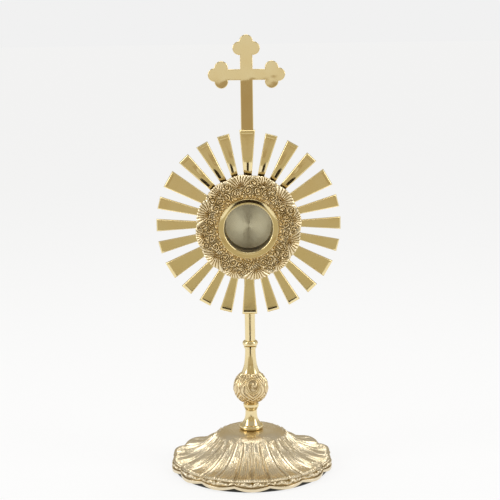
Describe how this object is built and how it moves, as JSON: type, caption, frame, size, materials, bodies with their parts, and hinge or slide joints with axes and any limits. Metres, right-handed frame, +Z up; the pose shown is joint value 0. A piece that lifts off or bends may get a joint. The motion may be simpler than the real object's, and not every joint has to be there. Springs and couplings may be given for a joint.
{
  "type": "reliquary monstrance",
  "caption": "Standing gilt-brass reliquary: fluted foot, knopped stem, glory of rays round an embossed wreath, glazed round theca with a hinged back door, and a budded cross.",
  "frame": {"origin": "on the table, under the stem's axis, at the underside of the felt ring", "axes": "+Z up along the stem to the cross, -Y to the front that shows the window, +X to the viewer's right"},
  "size_m": [0.1168, 0.106, 0.28],
  "materials": {
    "gilt_brass": "polished gold plate",
    "satin_brass": "satin",
    "steel": "plain",
    "seal": "matt",
    "felt": "felt",
    "glass": "clear"
  },
  "bodies": {
    "stand": {"foot_felt": "felt", "foot": "gilt_brass", "foot_washer": "steel", "foot_nut": "steel", "tie_rod": "steel", "pedestal": "gilt_brass", "knop": "gilt_brass", "neck": "gilt_brass", "bead": "gilt_brass", "stem_rod": "gilt_brass", "rod_screws": "steel", "ray_plate": "gilt_brass", "narrow_rays": "gilt_brass", "wide_rays": "gilt_brass", "wreath": "gilt_brass", "cross": "gilt_brass", "cross_rivets": "gilt_brass", "theca_case": "gilt_brass", "glass_seal": "seal", "window_glass": "glass", "bezel": "gilt_brass", "hinge_leaf": "gilt_brass", "hinge_pin": "steel", "button_screw": "steel"},
    "back_door": {"door": "gilt_brass", "door_leaf": "gilt_brass", "relic_plate": "satin_brass", "door_knob": "gilt_brass"},
    "latch": {"turn_button": "gilt_brass"}
  },
  "joints": [
    {"name": "door_hinge", "type": "hinge", "parent": "stand", "child": "back_door", "pos_m": [-0.0226, 0.0098, 0.15947], "axis": [0, 0, 1], "range_deg": [0, 120]},
    {"name": "latch_turn", "type": "hinge", "parent": "stand", "child": "latch", "pos_m": [0.0229, 0.0108, 0.15947], "axis": [0, 1, 0], "range_deg": [0, 90]}
  ]
}
